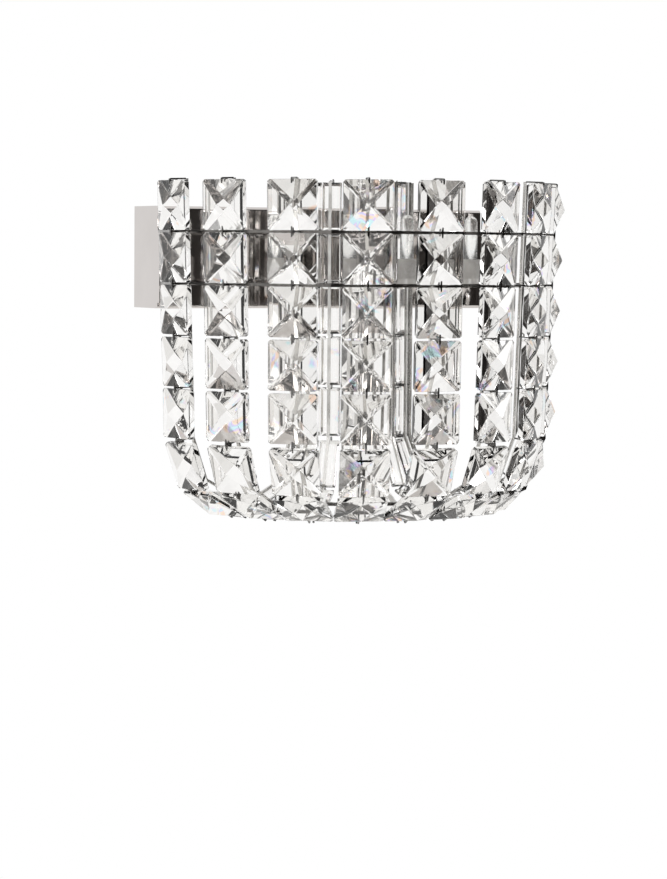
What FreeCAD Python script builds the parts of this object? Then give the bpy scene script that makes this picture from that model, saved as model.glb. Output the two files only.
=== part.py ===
"""Crystal wall sconce: a half basket of clear square crystals in front of a polished nickel wall box.

Nine strands of crystals stand on an arc in front of the box. Each strand is a U seen from the side:
seven square crystals come down the outside and turn in at the bottom, and seven narrow ones go up
the inside. A bent strap behind the crystals carries them on wire clips, and flat rings tie the
straps together and to the box. Millimetres, +Z up, -Y to the front, the wall is the plane Y = 0.
"""
import os

import FreeCAD, Part
from math import cos, radians, sin, tan

Vector = FreeCAD.Vector

# ---- driving dimensions --------------------------------------------------------------------------

strand_count = 9
strand_step = 20.0            # degrees between neighbouring strands
arc_radius = 172.0            # arc of the strands to the middle of the top crystals
arc_setback = 46.0            # arc centre in front of the wall box
upright_rows = 5              # upright crystals on each side of a strand
pitch = 42.0                  # crystal and joint
taper = 2.0                   # degrees that the outside leans in towards the bottom
turn_low = 20.0               # tilt of the sixth crystal
turn_bottom = 62.0            # tilt of the seventh crystal
bottom_flat = 8.0             # level stretch at the bottom of the U
top_height = 63.0             # top joint above the middle of the box

crystal_side = 40.0
crystal_corner = 2.5          # clipped corner of the square
crystal_edge = 2.2            # half thickness at the edge
crystal_peak = 10.5           # half thickness at the middle
slim_width = 16.0             # narrow crystals of the inner side
slim_half = 3.0               # half thickness of a narrow crystal
slim_bevel = 3.0
corner_gap = 1.0              # more room on each side of a joint that turns

wire = 1.2                    # clip wire
prong_reach = 4.2             # prong along the crystal's face
strap_width = 2.5
strap_thick = 2.0
strap_gap = 12.0              # mid plane of the outer crystals to the strap
strap_floor = 9.5             # the same at the bottom of the U
slim_strap_gap = 5.0          # the same for the narrow crystals

ring_thick = 2.5
ring_width = 5.0
ring_notch = 1.0              # depth of a strap's seat in a ring's edge
ring_level = 21.0             # upper rings above the middle of the box, lower rings below it
bottom_ring_width = 8.0

box_width = 303.0
box_height = 85.0
box_depth = 52.0
box_sheet = 1.2
box_fold = 3.0                # radius of the folded long edges
post_width = 5.5
post_depth = 4.0
post_overhang = 17.0          # post below the lower ring
tenon = 2.5                   # side of the posts' square tenons
tenon_inset = 2.95            # middle of the tenons from the box's end

bracket_length = 190.0
bracket_height = 30.0
bracket_sheet = 1.5
bolt_spacing = 120.0
bolt_hole_radius = 2.5
cable_hole_radius = 8.0
tab_spacing = 150.0
tab_width = 16.0
tab_depth = 12.0
box_screw_radius = 2.0

block_pole = 9.0              # terminal block: width of one pole
block_depth = 15.0
block_height = 18.0
block_left = -62.0
block_bottom = -20.0
well_side = 4.4
channel_side = 3.6
grub_radius = 2.1
earth_radius = 2.0
earth_x = 35.0
earth_z = 8.0

rail_radius = 112.0
rail_width = 16.0
rail_hole_radius = 3.0
lamp_angles = (-40.0, 0.0, 40.0)
holder_radius = 7.5
holder_height = 20.0
well_radius = 5.4
well_depth = 9.0
bulb_radius = 5.3
bulb_height = 35.2            # glass above the holder

# ---- derived places ------------------------------------------------------------------------------

half_gap = (pitch - crystal_side) / 2.0
box_front = -box_depth
arc_centre_y = box_front - arc_setback
post_front = box_front - post_depth
tab_floor = -box_height / 2.0 + box_sheet
block_front = -bracket_sheet - block_depth
tab_places = (-tab_spacing / 2.0, tab_spacing / 2.0)
well_heights = (block_bottom + 0.28 * block_height, block_bottom + 0.72 * block_height)
strand_angles = [(k - (strand_count - 1) / 2.0) * strand_step for k in range(strand_count)]


# ---- the path of a strand ------------------------------------------------------------------------
# A strand is drawn in its own upright plane: the first number is the distance from the arc's
# centre, the second the height. A tilt of 0 runs straight down, 90 towards the centre, 180 up.

def direction(tilt):
    return Vector(-sin(radians(tilt)), -cos(radians(tilt)), 0)


def outward(tilt):
    return Vector(cos(radians(tilt)), -sin(radians(tilt)), 0)


def walk_strand():
    """The crystals of a strand as (centre, tilt), and its corner points from top to top."""
    outer = [taper] * upright_rows + [turn_low, turn_bottom]
    tilts = outer + [180.0 - turn_bottom, 180.0 - turn_low] + [180.0] * upright_rows
    point = Vector(arc_radius, top_height, 0)
    links = []
    corners = [point]
    for index, tilt in enumerate(tilts):
        before = corner_gap if index and tilts[index - 1] != tilt else 0.0
        after = corner_gap if index + 1 < len(tilts) and tilts[index + 1] != tilt else 0.0
        if index == len(outer):
            point = point + direction(90.0) * bottom_flat
            corners.append(point)
        links.append((point + direction(tilt) * (before + pitch / 2.0), tilt))
        point = point + direction(tilt) * (before + pitch + after)
        if after or index + 1 == len(tilts):
            corners.append(point)
    return links, corners


links, corners = walk_strand()
outer_links = links[:upright_rows + 2]
slim_links = links[upright_rows + 2:]


def in_plane(points, thickness):
    """A flat piece of the given outline in the strand's plane, standing on the front strand."""
    outline = [Vector(-thickness / 2.0, -p.x, p.y) for p in points]
    face = Part.Face(Part.makePolygon(outline + outline[:1]))
    return face.extrude(Vector(thickness, 0, 0))


def at_strand(shape, angle):
    """Turn a piece of the front strand to another place on the arc."""
    placed = shape.copy()
    placed.rotate(Vector(0, 0, 0), Vector(0, 0, 1), angle)
    placed.translate(Vector(0, arc_centre_y, 0))
    return placed


# ---- crystals ------------------------------------------------------------------------------------

def facet_solid(rings, peaks=()):
    """A closed solid from rings of points front to back, ended by two peaks or by flat faces."""
    faces = []
    for near, far in zip(rings, rings[1:]):
        for i in range(len(near)):
            j = (i + 1) % len(near)
            faces.append(Part.Face(Part.makePolygon([near[i], near[j], far[j], far[i], near[i]])))
    if peaks:
        for ring, peak in zip((rings[0], rings[-1]), peaks):
            for a, b in zip(ring, ring[1:] + ring[:1]):
                faces.append(Part.Face(Part.makePolygon([a, b, peak, a])))
    else:
        faces += [Part.Face(Part.makePolygon(ring + ring[:1])) for ring in (rings[0], rings[-1])]
    solid = Part.makeSolid(Part.makeShell(faces))
    if solid.Volume < 0:
        solid.reverse()
    return solid


def square_crystal():
    """Square cut: four large facets on each side run up to a peak in the middle."""
    h = crystal_side / 2.0
    c = h - crystal_corner
    spots = ((h, c), (c, h), (-c, h), (-h, c), (-h, -c), (-c, -h), (c, -h), (h, -c))
    rings = [[Vector(x, y, z) for x, z in spots] for y in (-crystal_edge, crystal_edge)]
    return facet_solid(rings, (Vector(0, -crystal_peak, 0), Vector(0, crystal_peak, 0)))


def slim_crystal():
    """Narrow flat bar with bevelled edges on both faces."""
    rings = []
    for y, inset in ((-slim_half, slim_bevel), (-slim_half / 3.0, 0.0), (slim_half / 3.0, 0.0),
                     (slim_half, slim_bevel)):
        w, h = slim_width / 2.0 - inset, crystal_side / 2.0 - inset
        rings.append([Vector(x, y, z) for x, z in ((w, h), (-w, h), (-w, -h), (w, -h))])
    return facet_solid(rings)


def hung(crystal, link):
    """A crystal in its place on the front strand."""
    centre, tilt = link
    placed = crystal.copy()
    placed.rotate(Vector(0, 0, 0), Vector(1, 0, 0), tilt)
    placed.translate(Vector(0, -centre.x, centre.y))
    return placed


# ---- clips ---------------------------------------------------------------------------------------

def joint_list(chain):
    """The joints of one side of a strand as (point, gap, tilt above, tilt below, where)."""
    joints = []
    for index in range(len(chain) + 1):
        above = chain[index - 1] if index else chain[0]
        below = chain[index] if index < len(chain) else chain[-1]
        turned = corner_gap if above[1] != below[1] else 0.0
        if index:
            point = above[0] + direction(above[1]) * (pitch / 2.0 + turned)
        else:
            point = below[0] - direction(below[1]) * (pitch / 2.0)
        where = "top" if not index else "foot" if index == len(chain) else "between"
        joints.append((point, half_gap + turned, above[1], below[1], where))
    return joints


def clip_outline(joint):
    """Bow of wire: a shank through the joint to the strap, and prongs on both faces of a crystal."""
    point, gap, above, below, where = joint
    slope = (crystal_peak - crystal_edge) / (crystal_side / 2.0)
    middle = (above + below) / 2.0
    neck = crystal_edge + 1.5 * wire

    def prong(tilt, way, side):
        spots = []
        for along in (gap - 0.2, prong_reach):
            out = crystal_edge + 0.05 + (along - gap) * slope
            spots.append(point + direction(tilt) * (way * along) + outward(tilt) * (side * out))
        return spots

    def on_shank(way, height):
        return point + direction(middle) * (way * wire / 2.0) + outward(middle) * height

    crown = point + outward(middle) * (crystal_edge + 1.3 * wire)
    shank = [on_shank(1, -neck), on_shank(1, -strap_gap), on_shank(-1, -strap_gap), on_shank(-1, -neck)]
    if where == "top":
        front_above, back_above = [on_shank(-1, crystal_edge)], []
    else:
        front_above, back_above = prong(above, -1, 1), prong(above, -1, -1)[::-1]
    if where == "foot":
        front_below, back_below = [on_shank(1, crystal_edge)], []
    else:
        front_below, back_below = prong(below, 1, 1)[::-1], prong(below, 1, -1)
    return front_above + [crown] + front_below + back_below + shank + back_above


def slim_clip_outline(joint):
    """Small pin between two narrow crystals, with a pointed head over their inner face."""
    point, above, below = joint[0], joint[2], joint[3]
    middle = (above + below) / 2.0
    half = wire / 2.0
    head = slim_half + 0.1
    spots = ((-half, -slim_strap_gap), (half, -slim_strap_gap), (half, head), (3 * half, head),
             (0, head + 1.5 * wire), (-3 * half, head), (-half, head))
    return [point + direction(middle) * along + outward(middle) * height for along, height in spots]


# ---- straps --------------------------------------------------------------------------------------

def offset_path(points, distances):
    """The points moved inwards by a distance for each stretch, with square mitres."""
    lines = []
    for start, end, distance in zip(points, points[1:], distances):
        along = (end - start).normalize()
        lines.append((start + Vector(along.y, -along.x, 0) * distance, along))
    moved = [lines[0][0]]
    for (p, a), (q, b) in zip(lines, lines[1:]):
        t = ((q - p).x * b.y - (q - p).y * b.x) / (a.x * b.y - a.y * b.x)
        moved.append(p + a * t)
    moved.append(points[-1] + lines[-1][0] - points[-2])
    return moved


def strap():
    """Flat bar bent to a U, seen edge on from outside."""
    near = [strap_gap] * 3 + [strap_floor] + [slim_strap_gap] * 3
    far = [gap + strap_thick for gap in near]
    return in_plane(offset_path(corners, near) + offset_path(corners, far)[::-1], strap_width)


front_strap = strap()
straps = [at_strand(front_strap, angle) for angle in strand_angles]


# ---- rings ---------------------------------------------------------------------------------------

def flat_ring(inner, outer, level, lengths, leg=0.0):
    """Flat bar ring of straight lengths, one square to every strap, with legs back to the box."""
    def path(radius):
        bend_radius = radius / cos(radians(strand_step / 2.0))
        bends = [radians((k - lengths / 2.0) * strand_step) for k in range(lengths + 1)]
        spots = [Vector(bend_radius * sin(a), arc_centre_y - bend_radius * cos(a), level) for a in bends]
        if leg:
            spots = [spots[0] + Vector(0, leg, 0)] + spots + [spots[-1] + Vector(0, leg, 0)]
        return spots

    outline = path(outer) + path(inner)[::-1]
    face = Part.Face(Part.makePolygon(outline + outline[:1]))
    return face.extrude(Vector(0, 0, ring_thick))


def outer_ring(middle):
    """Ring behind the outer straps, with its ends cut square on the posts."""
    lean = (top_height - middle) * tan(radians(taper))
    face_radius = arc_radius - lean - (strap_gap + strap_thick) / cos(radians(taper))
    edge = face_radius + ring_notch
    ring = flat_ring(edge - ring_width, edge, middle - ring_thick / 2.0, strand_count + 2)
    behind = Part.makeBox(400, 200, 20, Vector(-200, post_front, middle - 10))
    return ring.cut([behind] + straps)


def inner_ring():
    edge = corners[-1].x + slim_strap_gap + strap_thick - ring_notch
    ring = flat_ring(edge, edge + ring_width, ring_level - ring_thick / 2.0, strand_count, arc_setback)
    return ring.cut(straps)


def bottom_ring():
    """Ring on the floor of the straps."""
    middle = (corners[3].x + corners[4].x) / 2.0
    level = corners[3].y + strap_floor + strap_thick
    half = bottom_ring_width / 2.0
    return flat_ring(middle - half, middle + half, level, strand_count).cut(straps)


# ---- wall box and bracket ------------------------------------------------------------------------

def folded(width, depth, height, corner, radius):
    """A block with its two long front edges rounded."""
    block = Part.makeBox(width, depth, height, corner)
    edges = [e for e in block.Edges
             if abs(e.CenterOfMass.y - corner.y) < 0.01 and abs(e.CenterOfMass.x) < 0.01]
    return block.makeFillet(radius, edges)


def tenons(side):
    """Square tenons that hold an end post in slots in the box's front."""
    x = side * (box_width / 2.0 - tenon_inset)
    return [Part.makeBox(tenon, box_sheet, tenon, Vector(x - tenon / 2.0, box_front, z - tenon / 2.0))
            for z in (0.0, -ring_level - 10.0)]


def wall_box():
    """Folded sheet box, open to the wall, with two screw holes below and slots for the posts."""
    body = folded(box_width, box_depth, box_height,
                  Vector(-box_width / 2.0, box_front, -box_height / 2.0), box_fold)
    corner = Vector(box_sheet - box_width / 2.0, box_front + box_sheet, tab_floor)
    room = folded(box_width - 2 * box_sheet, box_depth - box_sheet, box_height - 2 * box_sheet,
                  corner, box_fold - box_sheet)
    holes = [Part.makeCylinder(box_screw_radius, box_sheet, Vector(x, -tab_depth / 2.0, -box_height / 2.0))
             for x in tab_places]
    return body.cut([room] + holes + tenons(-1) + tenons(1))


def wall_bracket():
    """Strip on the wall with two legs, each ending in a tapped tab above the box's bottom."""
    strip = Part.makeBox(bracket_length, bracket_sheet, bracket_height,
                         Vector(-bracket_length / 2.0, -bracket_sheet, -bracket_height / 2.0))
    legs = []
    holes = []
    for x in tab_places:
        left = x - tab_width / 2.0
        low = Vector(left, -bracket_sheet, tab_floor)
        legs.append(Part.makeBox(tab_width, bracket_sheet, -tab_floor, low))
        legs.append(Part.makeBox(tab_width, tab_depth, bracket_sheet, Vector(left, -tab_depth, tab_floor)))
        spot = Vector(x, -tab_depth / 2.0, tab_floor)
        holes.append(Part.makeCylinder(box_screw_radius, bracket_sheet, spot))
    bolt_x = bolt_spacing / 2.0
    for x, z, radius in ((-bolt_x, 0, bolt_hole_radius), (bolt_x, 0, bolt_hole_radius),
                         (0, 0, cable_hole_radius), (earth_x, earth_z, earth_radius)):
        spot = Vector(x, -bracket_sheet, z)
        holes.append(Part.makeCylinder(radius, bracket_sheet, spot, Vector(0, 1, 0)))
    return strip.fuse(legs).removeSplitter().cut(holes)


def revolved(profile, place):
    """A round upright piece from half an outline of (radius, height) points."""
    spots = [Vector(r, 0, h) for r, h in profile]
    solid = Part.Face(Part.makePolygon(spots + spots[:1])).revolve(Vector(0, 0, 0), Vector(0, 0, 1), 360)
    solid.translate(place)
    return solid


def box_screws():
    """Two hexagon screws up through the box's bottom into the bracket's tabs."""
    screws = []
    for x in tab_places:
        place = Vector(x, -tab_depth / 2.0, -box_height / 2.0)
        points = [place + Vector(4.2 * cos(radians(a)), 4.2 * sin(radians(a)), -3) for a in range(0, 361, 60)]
        head = Part.Face(Part.makePolygon(points)).extrude(Vector(0, 0, 3))
        screws.append(head.fuse(Part.makeCylinder(box_screw_radius, 6, place)))
    return screws


def end_post(side):
    """Upright bar on the box's front edge that takes the ends of both outer rings."""
    low = -ring_level - post_overhang
    left = box_width / 2.0 - post_width if side > 0 else -box_width / 2.0
    high = ring_level + ring_thick / 2.0
    bar = Part.makeBox(post_width, post_depth, high - low, Vector(left, post_front, low))
    return bar.fuse(tenons(side))


# ---- wiring parts --------------------------------------------------------------------------------

def terminal_block():
    """Three-pole block on the bracket: wires enter below and above, screws face the room."""
    corner = Vector(block_left, block_front, block_bottom)
    block = Part.makeBox(3 * block_pole, block_depth, block_height, corner)
    cuts = []
    for pole in range(3):
        x = block_left + (pole + 0.5) * block_pole
        cuts.append(Part.makeBox(channel_side, channel_side, block_height,
                                 Vector(x - channel_side / 2.0, block_front + 6.0, block_bottom)))
        for z in well_heights:
            cuts.append(Part.makeBox(well_side, 4.0, well_side,
                                     Vector(x - well_side / 2.0, block_front, z - well_side / 2.0)))
        if pole:
            wall = x - block_pole / 2.0
            cuts.append(Part.makeBox(1.0, 5.0, block_height, Vector(wall - 0.5, block_front, block_bottom)))
    return block.cut(cuts)


def terminal_screws():
    """Six slotted grub screws in the block's wells, and the earth screw with its cup washer."""
    screws = []
    for pole in range(3):
        for z in well_heights:
            spot = Vector(block_left + (pole + 0.5) * block_pole, block_front + 4.0, z)
            screw = Part.makeCylinder(grub_radius, 1.5, spot, Vector(0, -1, 0))
            screws.append(screw.cut(Part.makeBox(5, 0.7, 0.7, spot + Vector(-2.5, -1.5, -0.35))))
    spot = Vector(earth_x, -bracket_sheet, earth_z)
    stem = Part.makeCylinder(earth_radius, bracket_sheet, spot, Vector(0, 1, 0))
    washer = Part.makeCylinder(4.2, 1.0, spot, Vector(0, -1, 0))
    head = Part.makeCylinder(3.4, 2.6, spot - Vector(0, 1.0, 0), Vector(0, -1, 0))
    slot = Part.makeBox(8, 1.0, 0.9, spot + Vector(-4, -3.6, -0.45))
    screws.append(stem.fuse([washer, head]).cut(slot))
    return screws


# ---- lamps ---------------------------------------------------------------------------------------

def lamp_rail():
    """Flat half ring between the two crystal walls, with a wire hole under every lamp."""
    half = rail_width / 2.0
    rail = flat_ring(rail_radius - half, rail_radius + half, -ring_level - ring_thick / 2.0, strand_count,
                     arc_setback)
    hole = Part.makeCylinder(rail_hole_radius, 10, Vector(0, -rail_radius, -ring_level - 5))
    return rail.cut([at_strand(hole, angle) for angle in lamp_angles])


on_rail = Vector(0, -rail_radius, -ring_level + ring_thick / 2.0)


def lamp_holder():
    """Ceramic pin-base holder: a flared foot, a round body and a well for the bulb's base."""
    r, h = holder_radius, holder_height
    return revolved([(rail_hole_radius, 0), (r + 1.3, 0), (r, 4), (r, h), (well_radius, h),
                     (well_radius, h - well_depth), (rail_hole_radius, h - well_depth)], on_rail)


def bulb():
    """Capsule bulb: a base down in the holder's well and a rounded glass above it."""
    r, top = bulb_radius, holder_height + bulb_height
    return revolved([(0, holder_height - well_depth), (r, holder_height - well_depth), (r, top - 0.8 * r),
                     (0.7 * r, top - 0.2 * r), (0, top)], on_rail)


# ---- all the pieces ------------------------------------------------------------------------------

pieces = {
    "wall_bracket": [wall_bracket()],
    "wall_box": [wall_box()],
    "box_screws": box_screws(),
    "end_post_left": [end_post(-1)],
    "end_post_right": [end_post(1)],
    "terminal_block": [terminal_block()],
    "terminal_screws": terminal_screws(),
    "upper_ring": [outer_ring(ring_level)],
    "lower_ring": [outer_ring(-ring_level)],
    "inner_ring": [inner_ring()],
    "bottom_ring": [bottom_ring()],
    "lamp_rail": [lamp_rail()],
    "lamp_holders": [at_strand(lamp_holder(), angle) for angle in lamp_angles],
    "bulbs": [at_strand(bulb(), angle) for angle in lamp_angles],
    "slim_clips": [],
}

strand_crystals = [hung(square_crystal(), link) for link in outer_links]
strand_slims = [hung(slim_crystal(), link) for link in slim_links]
strand_clips = [in_plane(clip_outline(joint), wire) for joint in joint_list(outer_links)]
slim_clips = [in_plane(slim_clip_outline(joint), wire) for joint in joint_list(slim_links)]
for number, angle in enumerate(strand_angles, 1):
    pieces["strap_%d" % number] = [straps[number - 1]]
    pieces["crystals_%d" % number] = [at_strand(c, angle) for c in strand_crystals]
    pieces["slim_crystals_%d" % number] = [at_strand(c, angle) for c in strand_slims]
    pieces["clips_%d" % number] = [at_strand(c, angle) for c in strand_clips]
    pieces["slim_clips"] += [at_strand(c, angle) for c in slim_clips]

os.makedirs("parts", exist_ok=True)
for name, solids in pieces.items():
    shape = solids[0] if len(solids) == 1 else Part.makeCompound(solids)
    print("%-18s %3d solids, valid %s, %9.1f mm3" % (name, len(shape.Solids), shape.isValid(), shape.Volume))
    shape.exportStep("parts/%s.step" % name)
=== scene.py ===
import bmesh
import bpy
import random
from math import cos, radians, sin
from mathutils import Euler, Matrix, Vector


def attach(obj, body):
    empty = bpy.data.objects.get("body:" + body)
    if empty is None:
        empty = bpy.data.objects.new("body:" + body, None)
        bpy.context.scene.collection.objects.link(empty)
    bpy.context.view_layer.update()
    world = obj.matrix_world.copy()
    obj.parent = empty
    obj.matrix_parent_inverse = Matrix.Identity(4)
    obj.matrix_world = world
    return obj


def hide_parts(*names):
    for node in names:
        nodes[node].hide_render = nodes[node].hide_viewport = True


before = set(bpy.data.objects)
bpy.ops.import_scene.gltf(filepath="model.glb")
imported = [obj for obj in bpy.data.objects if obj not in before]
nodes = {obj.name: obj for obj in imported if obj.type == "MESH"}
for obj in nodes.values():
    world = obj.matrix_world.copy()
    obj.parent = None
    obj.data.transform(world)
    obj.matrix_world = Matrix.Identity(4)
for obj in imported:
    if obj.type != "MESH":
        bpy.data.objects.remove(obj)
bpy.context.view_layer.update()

scene = bpy.context.scene

# ---- polished nickel: wall box, end posts and lamp rail ------------------------------------------
# The folded sheet box on the wall, the two bars at its front corners and the flat rail that
# carries the lamps. Mirror-polished nickel plate with faint cloudy wear and a very fine grain.

def add(tree, kind, **values):
    """A new node with its plain settings and socket values."""
    node = tree.nodes.new(kind)
    for key, value in values.items():
        if hasattr(node, key):
            setattr(node, key, value)
        else:
            node.inputs[key.replace("_", " ")].default_value = value
    return node


def wear_group():
    """Cloudy wear mask and fine bump that the plated metals share."""
    tree = bpy.data.node_groups.new("plating_wear", "ShaderNodeTree")
    for name, kind, value in (("Vector", "NodeSocketVector", None),
                              ("Scale", "NodeSocketFloat", 18.0),
                              ("Bump", "NodeSocketFloat", 0.02)):
        socket = tree.interface.new_socket(name=name, in_out="INPUT", socket_type=kind)
        if value is not None:
            socket.default_value = value
    tree.interface.new_socket(name="Mask", in_out="OUTPUT", socket_type="NodeSocketFloat")
    tree.interface.new_socket(name="Normal", in_out="OUTPUT", socket_type="NodeSocketVector")
    inside = tree.nodes.new("NodeGroupInput")
    outside = tree.nodes.new("NodeGroupOutput")
    cloud = add(tree, "ShaderNodeTexNoise", Detail=5.0, Roughness=0.55)
    spread = add(tree, "ShaderNodeMapRange", From_Min=0.38, From_Max=0.68)
    grain = add(tree, "ShaderNodeTexNoise", Scale=900.0, Detail=3.0)
    bump = add(tree, "ShaderNodeBump", Distance=0.0002)
    link = tree.links.new
    link(inside.outputs["Vector"], cloud.inputs["Vector"])
    link(inside.outputs["Scale"], cloud.inputs["Scale"])
    link(cloud.outputs["Fac"], spread.inputs["Value"])
    link(inside.outputs["Vector"], grain.inputs["Vector"])
    link(grain.outputs["Fac"], bump.inputs["Height"])
    link(inside.outputs["Bump"], bump.inputs["Strength"])
    link(spread.outputs["Result"], outside.inputs["Mask"])
    link(bump.outputs["Normal"], outside.inputs["Normal"])
    return tree


plating_wear = wear_group()


def worn_material(name, clean, worn, rough_clean, rough_worn, metallic, scale, bump):
    """A finish that moves between a clean and a worn colour and roughness."""
    material = bpy.data.materials.new(name)
    material.use_nodes = True
    tree = material.node_tree
    shader = tree.nodes["Principled BSDF"]
    shader.inputs["Metallic"].default_value = metallic
    where = tree.nodes.new("ShaderNodeTexCoord")
    wear = tree.nodes.new("ShaderNodeGroup")
    wear.node_tree = plating_wear
    wear.inputs["Scale"].default_value = scale
    wear.inputs["Bump"].default_value = bump
    colour = tree.nodes.new("ShaderNodeMix")
    colour.data_type = "RGBA"
    colour.inputs["A"].default_value = (*clean, 1.0)
    colour.inputs["B"].default_value = (*worn, 1.0)
    rough = add(tree, "ShaderNodeMapRange", To_Min=rough_clean, To_Max=rough_worn)
    link = tree.links.new
    link(where.outputs["Object"], wear.inputs["Vector"])
    link(wear.outputs["Mask"], colour.inputs["Factor"])
    link(wear.outputs["Mask"], rough.inputs["Value"])
    link(colour.outputs["Result"], shader.inputs["Base Color"])
    link(rough.outputs["Result"], shader.inputs["Roughness"])
    link(wear.outputs["Normal"], shader.inputs["Normal"])
    return material


def finish_node(name, material):
    """Give a carried node its finish."""
    nodes[name].data.materials.clear()
    nodes[name].data.materials.append(material)


nickel = worn_material("polished_nickel", clean=(0.626, 0.593, 0.575), worn=(0.587, 0.555, 0.537),
                       rough_clean=0.03, rough_worn=0.07, metallic=1.0, scale=14.0, bump=0.015)
for name in ("wall_box", "end_post_left", "end_post_right", "lamp_rail"):
    finish_node(name, nickel)

# ---- straps and rings ----------------------------------------------------------------------------
# Bent flat bars behind the crystals, one to a strand, and the rings that tie them to each other
# and to the posts. Nickel plate like the box's but duller, and smoked darker on the rings.

strand_count = 9
strand_numbers = range(1, strand_count + 1)
strap_nickel = worn_material("strap_nickel", clean=(0.66, 0.65, 0.63), worn=(0.50, 0.49, 0.47),
                             rough_clean=0.14, rough_worn=0.28, metallic=1.0, scale=45.0, bump=0.05)
ring_nickel = worn_material("ring_nickel", clean=(0.20, 0.19, 0.18), worn=(0.12, 0.115, 0.11),
                            rough_clean=0.16, rough_worn=0.30, metallic=1.0, scale=45.0, bump=0.05)
for k in strand_numbers:
    finish_node("strap_%d" % k, strap_nickel)
for name in ("upper_ring", "lower_ring", "inner_ring", "bottom_ring"):
    finish_node(name, ring_nickel)

# ---- clips ---------------------------------------------------------------------------------------
# Dark nickel wire bows at every joint: a shank back to the strap, and prongs on both faces of the
# crystals it joins. Between the narrow crystals inside are small pins with pointed heads.

clip_metal = worn_material("clip_metal", clean=(0.16, 0.155, 0.15), worn=(0.07, 0.068, 0.066),
                           rough_clean=0.12, rough_worn=0.28, metallic=1.0, scale=160.0, bump=0.06)
for name in ["slim_clips"] + ["clips_%d" % k for k in strand_numbers]:
    finish_node(name, clip_metal)

# ---- square crystals -----------------------------------------------------------------------------
# Nine strands of seven clear square crystals on an arc, upright at first and turned in at the
# bottom. Cut and polished glass with four large facets a side, a clipped corner and fine bevels.

strand_step = 20.0               # degrees between neighbouring strands
strand_angles = [radians(strand_step * k) for k in range(-4, 5)]
arc_centre = Vector((0.0, -0.098, 0.0))
arc_radius, top_height = 0.172, 0.063
pitch = 0.042                    # crystal and joint
corner_gap = 0.001               # more room on each side of a joint that turns
bottom_flat = 0.008              # level stretch at the bottom of the U
outer_tilts = [2.0] * 5 + [20.0, 62.0]
slim_tilts = [118.0, 160.0] + [180.0] * 5


def strand_links():
    """The places of a strand's crystals as (distance from the arc's centre, height, tilt)."""
    tilts = outer_tilts + slim_tilts
    r, z = arc_radius, top_height
    links = []
    for k, tilt in enumerate(tilts):
        before = corner_gap if k and tilts[k - 1] != tilt else 0.0
        after = corner_gap if k + 1 < len(tilts) and tilts[k + 1] != tilt else 0.0
        if k == len(outer_tilts):
            r -= bottom_flat
        dr, dz = -sin(radians(tilt)), -cos(radians(tilt))
        step = before + pitch / 2.0
        links.append((r + dr * step, z + dz * step, radians(tilt)))
        step = before + pitch + after
        r, z = r + dr * step, z + dz * step
    return links


all_links = strand_links()


def cut_glass(rings, peaks, bevel):
    """A cut piece from rings of points front to back, with fine bevels on its edges."""
    shape = bmesh.new()
    loops = [[shape.verts.new(p) for p in ring] for ring in rings]
    for near, far in zip(loops, loops[1:]):
        for i in range(len(near)):
            j = (i + 1) % len(near)
            shape.faces.new((near[i], near[j], far[j], far[i]))
    if peaks:
        for loop, peak in zip((loops[0], loops[-1]), peaks):
            tip = shape.verts.new(peak)
            for i in range(len(loop)):
                shape.faces.new((loop[i], loop[(i + 1) % len(loop)], tip))
    else:
        shape.faces.new(loops[0])
        shape.faces.new(loops[-1])
    bmesh.ops.recalc_face_normals(shape, faces=shape.faces)
    bmesh.ops.bevel(shape, geom=shape.edges[:], offset=bevel, segments=2, profile=0.5,
                    affect="EDGES")
    bmesh.ops.recalc_face_normals(shape, faces=shape.faces)
    mesh = bpy.data.meshes.new("cut_glass")
    shape.to_mesh(mesh)
    shape.free()
    return mesh


def strand_tree():
    """Puts one cut piece on every point, turned as the point says."""
    tree = bpy.data.node_groups.new("strung_pieces", "GeometryNodeTree")
    sockets = {}
    for name, kind in (("Geometry", "NodeSocketGeometry"), ("Piece", "NodeSocketObject"),
                       ("Size", "NodeSocketFloat"), ("Material", "NodeSocketMaterial")):
        socket = tree.interface.new_socket(name=name, in_out="INPUT", socket_type=kind)
        sockets[name] = socket.identifier
    tree.interface.new_socket(name="Geometry", in_out="OUTPUT", socket_type="NodeSocketGeometry")
    inside = tree.nodes.new("NodeGroupInput")
    outside = tree.nodes.new("NodeGroupOutput")
    piece = tree.nodes.new("GeometryNodeObjectInfo")
    turn = tree.nodes.new("GeometryNodeInputNamedAttribute")
    turn.data_type = "FLOAT_VECTOR"
    turn.inputs["Name"].default_value = "turn"
    rotation = tree.nodes.new("FunctionNodeEulerToRotation")
    copies = tree.nodes.new("GeometryNodeInstanceOnPoints")
    real = tree.nodes.new("GeometryNodeRealizeInstances")
    paint = tree.nodes.new("GeometryNodeSetMaterial")
    link = tree.links.new
    link(inside.outputs["Geometry"], copies.inputs["Points"])
    link(inside.outputs["Piece"], piece.inputs["Object"])
    link(piece.outputs["Geometry"], copies.inputs["Instance"])
    link(turn.outputs["Attribute"], rotation.inputs["Euler"])
    link(rotation.outputs["Rotation"], copies.inputs["Rotation"])
    link(inside.outputs["Size"], copies.inputs["Scale"])
    link(copies.outputs["Instances"], real.inputs["Geometry"])
    link(real.outputs["Geometry"], paint.inputs["Geometry"])
    link(inside.outputs["Material"], paint.inputs["Material"])
    link(paint.outputs["Geometry"], outside.inputs["Geometry"])
    return tree, sockets


strung_pieces, strung_sockets = strand_tree()
loose = random.Random(11)        # fixed seed for how each crystal hangs


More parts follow.
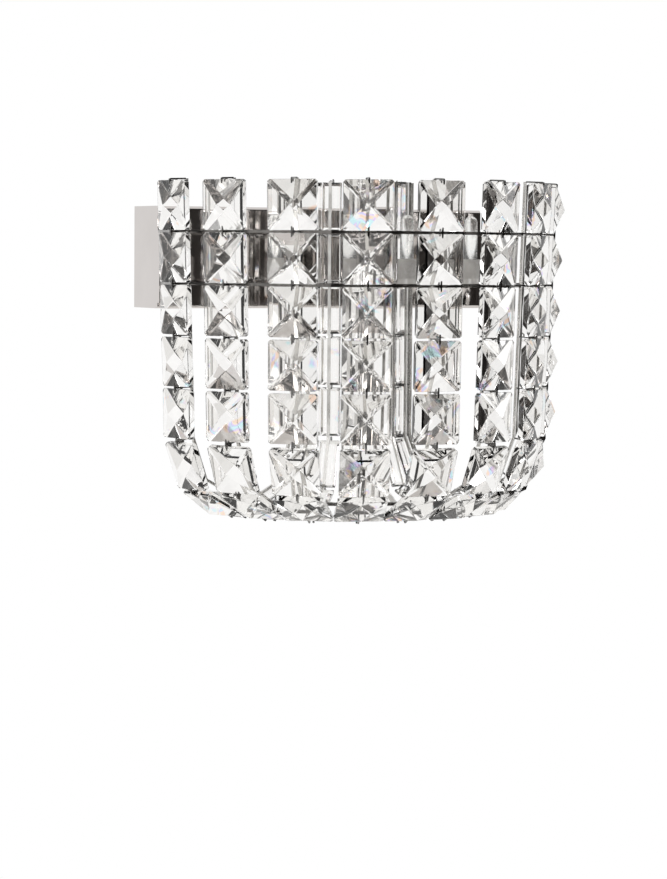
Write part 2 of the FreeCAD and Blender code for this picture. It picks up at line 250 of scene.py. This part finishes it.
def strand_places(links, play):
    """Where all strands' pieces hang, each up to play degrees off true."""
    spots, turns = [], []
    for angle in strand_angles:
        for r, z, tilt in links:
            spots.append(arc_centre + Matrix.Rotation(angle, 3, "Z") @ Vector((0.0, -r, z)))
            own = Euler([radians(loose.uniform(-play, play)) for _ in range(3)]).to_matrix()
            hung = Matrix.Rotation(angle, 3, "Z") @ Matrix.Rotation(tilt, 3, "X") @ own
            turns.append(hung.to_euler())
    return spots, turns


def strung(name, mesh, spots, turns, material):
    """One mesh of all copies of a piece."""
    points = bpy.data.meshes.new(name)
    points.from_pydata(spots, [], [])
    attribute = points.attributes.new("turn", "FLOAT_VECTOR", "POINT")
    for value, turn in zip(attribute.data, turns):
        value.vector = turn
    piece = bpy.data.objects.new(name + "_cut", mesh)
    strings = bpy.data.objects.new(name, points)
    scene.collection.objects.link(piece)
    scene.collection.objects.link(strings)
    modifier = strings.modifiers.new("strung", "NODES")
    modifier.node_group = strung_pieces
    modifier[strung_sockets["Piece"]] = piece
    modifier[strung_sockets["Size"]] = 1.0
    modifier[strung_sockets["Material"]] = material
    view = bpy.context.evaluated_depsgraph_get()
    baked = bpy.data.meshes.new_from_object(strings.evaluated_get(view), depsgraph=view)
    strings.modifiers.clear()
    strings.data = baked
    bpy.data.objects.remove(piece)
    return strings


def flash_group():
    """Tint of cut glass: nearly clear, with small patches of painted light for its coloured flashes.
    """
    tree = bpy.data.node_groups.new("glass_flash", "ShaderNodeTree")
    for name, kind in (("Vector", "NodeSocketVector"), ("Clear", "NodeSocketColor"),
                       ("Flash", "NodeSocketFloat")):
        tree.interface.new_socket(name=name, in_out="INPUT", socket_type=kind)
    tree.interface.new_socket(name="Color", in_out="OUTPUT", socket_type="NodeSocketColor")
    tree.interface.new_socket(name="Roughness", in_out="OUTPUT", socket_type="NodeSocketFloat")
    inside = tree.nodes.new("NodeGroupInput")
    outside = tree.nodes.new("NodeGroupOutput")
    # painted light: coloured patches in the glass's colour stand in for its flashes of dispersed
    # light
    patch = add(tree, "ShaderNodeTexNoise", Scale=40.0, Detail=1.0, Distortion=0.6)
    edge = add(tree, "ShaderNodeMapRange", From_Min=0.67, From_Max=0.71)
    share = add(tree, "ShaderNodeMath", operation="MULTIPLY")
    hue = add(tree, "ShaderNodeTexNoise", Scale=95.0, Detail=0.0, Distortion=1.5)
    split = tree.nodes.new("ShaderNodeValToRGB")
    stops = split.color_ramp.elements
    stops[0].position, stops[0].color = 0.36, (0.10, 0.85, 1.0, 1.0)
    stops[1].position, stops[1].color = 0.64, (1.0, 0.35, 0.05, 1.0)
    for position, colour in ((0.43, (0.12, 0.15, 1.0, 1.0)), (0.50, (0.70, 0.20, 0.95, 1.0)),
                             (0.57, (1.0, 0.75, 0.15, 1.0))):
        stops.new(position).color = colour
    mixed = tree.nodes.new("ShaderNodeMix")
    mixed.data_type = "RGBA"
    haze = add(tree, "ShaderNodeTexNoise", Scale=240.0, Detail=4.0)
    rough = add(tree, "ShaderNodeMapRange", To_Min=0.0, To_Max=0.02)
    link = tree.links.new
    for texture in (patch, hue, haze):
        link(inside.outputs["Vector"], texture.inputs["Vector"])
    link(patch.outputs["Fac"], edge.inputs["Value"])
    link(edge.outputs["Result"], share.inputs[0])
    link(inside.outputs["Flash"], share.inputs[1])
    link(hue.outputs["Fac"], split.inputs["Fac"])
    link(share.outputs["Value"], mixed.inputs["Factor"])
    link(inside.outputs["Clear"], mixed.inputs["A"])
    link(split.outputs["Color"], mixed.inputs["B"])
    link(haze.outputs["Fac"], rough.inputs["Value"])
    link(mixed.outputs["Result"], outside.inputs["Color"])
    link(rough.outputs["Result"], outside.inputs["Roughness"])
    return tree


glass_flash = flash_group()


def glass_material(name, clear, flash, ior):
    """Cut glass of one tint, with flash as the strength of its patches of painted flash light."""
    material = bpy.data.materials.new(name)
    material.use_nodes = True
    tree = material.node_tree
    shader = tree.nodes["Principled BSDF"]
    shader.inputs["Transmission Weight"].default_value = 1.0
    shader.inputs["IOR"].default_value = ior
    where = tree.nodes.new("ShaderNodeTexCoord")
    tint = tree.nodes.new("ShaderNodeGroup")
    tint.node_tree = glass_flash
    tint.inputs["Clear"].default_value = (*clear, 1.0)
    tint.inputs["Flash"].default_value = flash
    tree.links.new(where.outputs["Object"], tint.inputs["Vector"])
    tree.links.new(tint.outputs["Color"], shader.inputs["Base Color"])
    tree.links.new(tint.outputs["Roughness"], shader.inputs["Roughness"])
    return material


side, corner = 0.020, 0.0182     # half a side, and where its clipped corners start
edge_half, peak_half = 0.0022, 0.0105
square_bevel = 0.0002
outer_count = len(outer_tilts)
glass_tint = (0.955, 0.945, 0.930)
square_spots = ((side, corner), (corner, side), (-corner, side), (-side, corner),
                (-side, -corner), (-corner, -side), (corner, -side), (side, -corner))
square_cut = cut_glass([[(x, y, z) for x, z in square_spots] for y in (-edge_half, edge_half)],
                       ((0.0, -peak_half, 0.0), (0.0, peak_half, 0.0)), square_bevel)
crystal_glass = glass_material("crystal_glass", glass_tint, flash=0.6, ior=1.58)
square_spots_hung, square_turns = strand_places(all_links[:outer_count], play=0.7)
crystals = strung("square_crystals", square_cut, square_spots_hung, square_turns, crystal_glass)
crystals.visible_shadow = False
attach(crystals, "root")
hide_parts(*["crystals_%d" % k for k in strand_numbers])

# ---- narrow crystals -----------------------------------------------------------------------------
# The inner leg of every strand: seven narrow flat bars of the same glass, with wide bevels on
# both faces. They hang behind the square ones and show as clear bands between them.

slim_w, slim_h, slim_half = 0.008, 0.020, 0.003
slim_edge_half, slim_inset, slim_bevel = 0.001, 0.003, 0.00025
slim_rings = []
for y, inset in ((-slim_half, slim_inset), (-slim_edge_half, 0.0), (slim_edge_half, 0.0),
                 (slim_half, slim_inset)):
    w, h = slim_w - inset, slim_h - inset
    slim_rings.append([(w, y, h), (-w, y, h), (-w, y, -h), (w, y, -h)])
slim_cut = cut_glass(slim_rings, None, slim_bevel)
slim_glass = glass_material("slim_crystal_glass", glass_tint, flash=0.3, ior=1.52)
slim_spots, slim_turns = strand_places(all_links[outer_count:], play=0.4)
slims = strung("slim_crystals", slim_cut, slim_spots, slim_turns, slim_glass)
slims.visible_shadow = False
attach(slims, "root")
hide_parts(*["slim_crystals_%d" % k for k in strand_numbers])

# ---- wall bracket and its screws -----------------------------------------------------------------
# The zinc-plated strip on the wall that the box slides over, and the two hexagon screws that
# come up through the box's bottom. Hidden from the front.

zinc = worn_material("zinc_plate", clean=(0.60, 0.62, 0.64), worn=(0.44, 0.46, 0.48),
                     rough_clean=0.28, rough_worn=0.48, metallic=1.0, scale=60.0, bump=0.15)
finish_node("wall_bracket", zinc)
finish_node("box_screws", nickel)

# ---- terminal block and its screws ---------------------------------------------------------------
# Three-pole block moulded in off-white plastic, with brass grub screws in its wells, and the
# brass earth screw with its washer on the bracket.

plastic = worn_material("terminal_plastic", clean=(0.84, 0.83, 0.79), worn=(0.76, 0.74, 0.69),
                        rough_clean=0.42, rough_worn=0.58, metallic=0.0, scale=90.0, bump=0.2)
brass = worn_material("brass", clean=(0.80, 0.62, 0.32), worn=(0.58, 0.42, 0.20),
                      rough_clean=0.22, rough_worn=0.42, metallic=1.0, scale=140.0, bump=0.1)
finish_node("terminal_block", plastic)
finish_node("terminal_screws", brass)

# ---- lamps ---------------------------------------------------------------------------------------
# Three glazed ceramic holders on the rail, each with a frosted capsule bulb stood in its well. The
# holders' white ceramic is painted dark grey: painted shade. The bulbs are frosted glass with a
# round dome, and are shown unlit.

# painted shade: the holders' white ceramic is coloured dark grey, darker still where the wear mask
# falls
shade_painted_ceramic = worn_material("white_ceramic_painted_shade", clean=(0.36, 0.35, 0.33), worn=(0.27, 0.26, 0.25),
                        rough_clean=0.18, rough_worn=0.32, metallic=0.0, scale=70.0, bump=0.05)
finish_node("lamp_holders", shade_painted_ceramic)
frosted = worn_material("frosted_glass", clean=(0.93, 0.93, 0.91), worn=(0.86, 0.86, 0.84),
                        rough_clean=0.18, rough_worn=0.30, metallic=0.0, scale=120.0, bump=0.08)
frosted.node_tree.nodes["Principled BSDF"].inputs["Transmission Weight"].default_value = 1.0

bulb_radius, bulb_foot, bulb_top = 0.0053, 0.011, 0.0552
rail_radius, rail_top = 0.112, -0.01975
lamp_angles = (-40.0, 0.0, 40.0)
facet = 10                       # degrees between the points of the bulb's outline and rings
shape = bmesh.new()
dome = [(bulb_radius * cos(radians(a)), bulb_top - bulb_radius * (1.0 - sin(radians(a))))
        for a in range(0, 90, facet)]
loops = []
for r, z in [(bulb_radius, bulb_foot)] + dome:
    loops.append([shape.verts.new((r * cos(radians(a)), r * sin(radians(a)), z))
                  for a in range(0, 360, facet)])
for low, high in zip(loops, loops[1:]):
    for i in range(len(low)):
        j = (i + 1) % len(low)
        shape.faces.new((low[i], low[j], high[j], high[i])).smooth = True
shape.faces.new(loops[0][::-1])
shape.faces.new(loops[-1]).smooth = True
bulb_mesh = bpy.data.meshes.new("bulb")
shape.to_mesh(bulb_mesh)
shape.free()
front_lamp = Vector((0.0, -rail_radius, rail_top))
bulb_spots = [arc_centre + Matrix.Rotation(radians(a), 3, "Z") @ front_lamp for a in lamp_angles]
upright = [Euler((0.0, 0.0, 0.0))] * len(lamp_angles)
bulbs = strung("capsule_bulbs", bulb_mesh, bulb_spots, upright, frosted)
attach(bulbs, "root")
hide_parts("bulbs")

# ---- floor, cards and light ----------------------------------------------------------------------
# A pale floor well below the light, which hangs on a wall. The dark cards in front and beside
# show only in reflections and through the glass, shade nothing and are hidden from the camera.

def flat_material(name, colour):
    """A plain dull colour."""
    material = bpy.data.materials.new(name)
    material.use_nodes = True
    shader = material.node_tree.nodes["Principled BSDF"]
    shader.inputs["Base Color"].default_value = (*colour, 1.0)
    shader.inputs["Roughness"].default_value = 0.9
    return material


def card(name, centre, normal, width, height, material):
    """A flat rectangle that faces along a direction."""
    mesh = bpy.data.meshes.new(name)
    w, h = width / 2.0, height / 2.0
    mesh.from_pydata([(-w, -h, 0), (w, -h, 0), (w, h, 0), (-w, h, 0)], [], [(0, 1, 2, 3)])
    mesh.materials.append(material)
    plane = bpy.data.objects.new(name, mesh)
    facing = Vector(normal).to_track_quat("Z", "Y").to_matrix().to_4x4()
    plane.matrix_world = Matrix.Translation(centre) @ facing
    scene.collection.objects.link(plane)
    return plane


card("floor", (0.0, 0.0, -1.2), (0, 0, 1), 5.0, 5.0, flat_material("pale_floor", (0.86, 0.86, 0.85)))
dark = flat_material("dark_card", (0.022, 0.019, 0.017))
for shade in (card("card_front", (0.3, -3.1, 0.2), (0, 1, 0), 7.0, 4.4, dark),
              card("card_right", (2.1, -1.3, 0.1), (-1, 0, 0), 2.8, 2.8, dark)):
    shade.visible_camera = shade.visible_diffuse = shade.visible_shadow = False

world = bpy.data.worlds.new("studio")
scene.world = world
world.use_nodes = True
sky = world.node_tree
sky.nodes["Background"].inputs["Color"].default_value = (1.0, 0.99, 0.98, 1.0)
sky.nodes["Background"].inputs["Strength"].default_value = 0.88
backdrop = add(sky, "ShaderNodeBackground", Color=(1.0, 1.0, 1.0, 1.0), Strength=1.0)
path = sky.nodes.new("ShaderNodeLightPath")
mirrored = add(sky, "ShaderNodeMath", operation="MAXIMUM")
seen = add(sky, "ShaderNodeMath", operation="MAXIMUM")
choose = sky.nodes.new("ShaderNodeMixShader")
sky.links.new(path.outputs["Is Glossy Ray"], mirrored.inputs[0])
sky.links.new(path.outputs["Is Transmission Ray"], mirrored.inputs[1])
sky.links.new(path.outputs["Is Camera Ray"], seen.inputs[0])
sky.links.new(mirrored.outputs["Value"], seen.inputs[1])
sky.links.new(seen.outputs["Value"], choose.inputs["Fac"])
sky.links.new(sky.nodes["Background"].outputs["Background"], choose.inputs[1])
sky.links.new(backdrop.outputs["Background"], choose.inputs[2])
sky.links.new(choose.outputs["Shader"], sky.nodes["World Output"].inputs["Surface"])

lamp_aim = Vector((0.0, -0.15, -0.07))
for name, place, size, power in (("key", (-1.2, -1.8, 1.5), 1.2, 26.0),
                                 ("fill", (1.6, -0.9, 0.9), 0.9, 9.0)):
    lamp = bpy.data.lights.new(name, "AREA")
    lamp.size = size
    lamp.energy = power
    lit = bpy.data.objects.new(name, lamp)
    lit.location = place
    lit.rotation_euler = (lamp_aim - Vector(place)).to_track_quat("-Z", "Y").to_euler()
    scene.collection.objects.link(lit)

# ---- camera --------------------------------------------------------------------------------------
# A long lens from the left of the front, about level with the box.

camera_place = Vector((-1.0888, -2.3584, 0.0040))
camera_aim = Vector((-0.0086, -0.0939, -0.1518))
camera_roll = radians(0.46)
focal_pixels, photo_height = 2993.4, 879.0
camera_data = bpy.data.cameras.new("camera")
camera_data.sensor_width = 36.0
camera_data.lens = focal_pixels / photo_height * camera_data.sensor_width
camera_data.dof.use_dof = False
camera = bpy.data.objects.new("camera", camera_data)
look = (camera_aim - camera_place).to_track_quat("-Z", "Y").to_matrix()
turned = (look @ Matrix.Rotation(camera_roll, 3, "Z")).to_4x4()
camera.matrix_world = Matrix.Translation(camera_place) @ turned
scene.collection.objects.link(camera)
scene.camera = camera
scene.view_settings.view_transform = "Standard"
